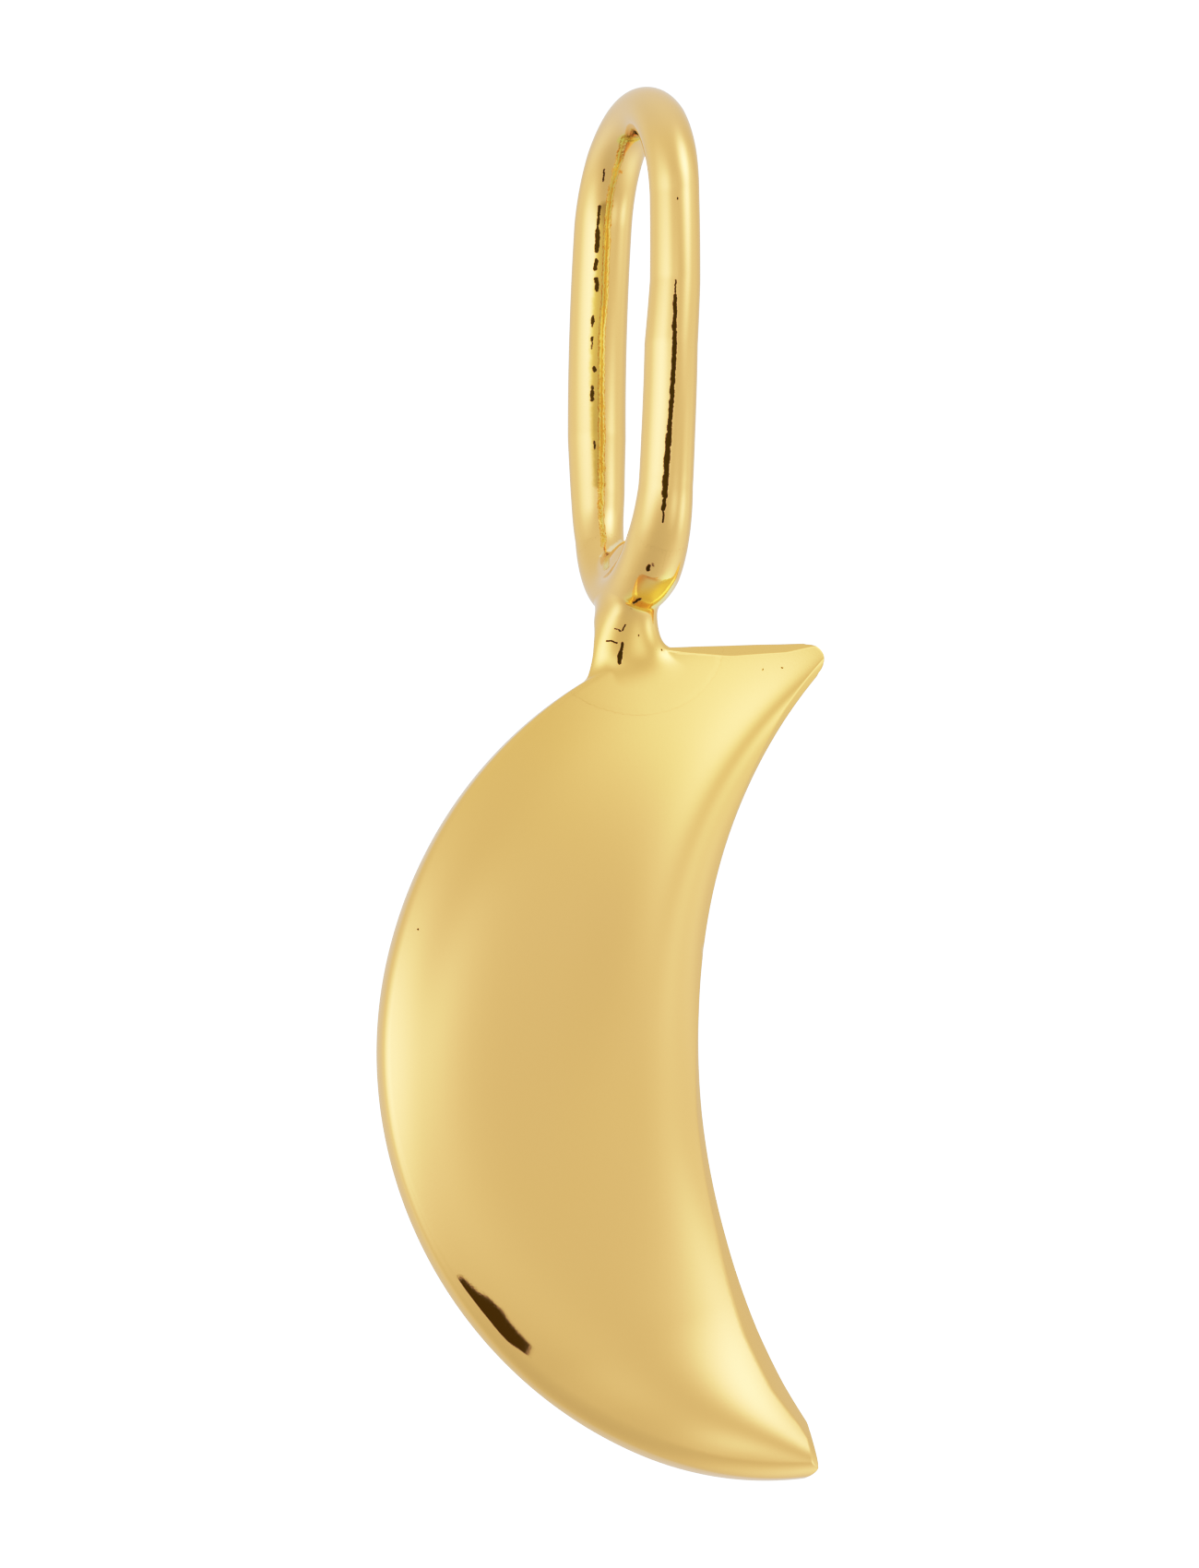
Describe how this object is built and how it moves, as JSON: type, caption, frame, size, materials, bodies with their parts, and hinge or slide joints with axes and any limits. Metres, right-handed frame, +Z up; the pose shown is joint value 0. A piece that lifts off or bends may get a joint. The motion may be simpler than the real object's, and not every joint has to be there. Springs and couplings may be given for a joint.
{
  "type": "crescent moon charm",
  "caption": "Domed crescent moon charm in polished gold-coloured metal with a short neck and a tall oval wire loop for a chain.",
  "frame": {"origin": "inside top of the oval wire loop, on its inner surface, where a chain carries the charm", "axes": "+Z up along the hanging charm, +X to the right seen from the domed front and along the way a chain passes through the loop, +Y to the back"},
  "size_m": [0.0072, 0.0046, 0.0218],
  "materials": {
    "gold_plate": "high polish yellow gold plating over cast silver"
  },
  "bodies": {
    "root": {"moon_charm": "gold_plate"}
  },
  "joints": []
}
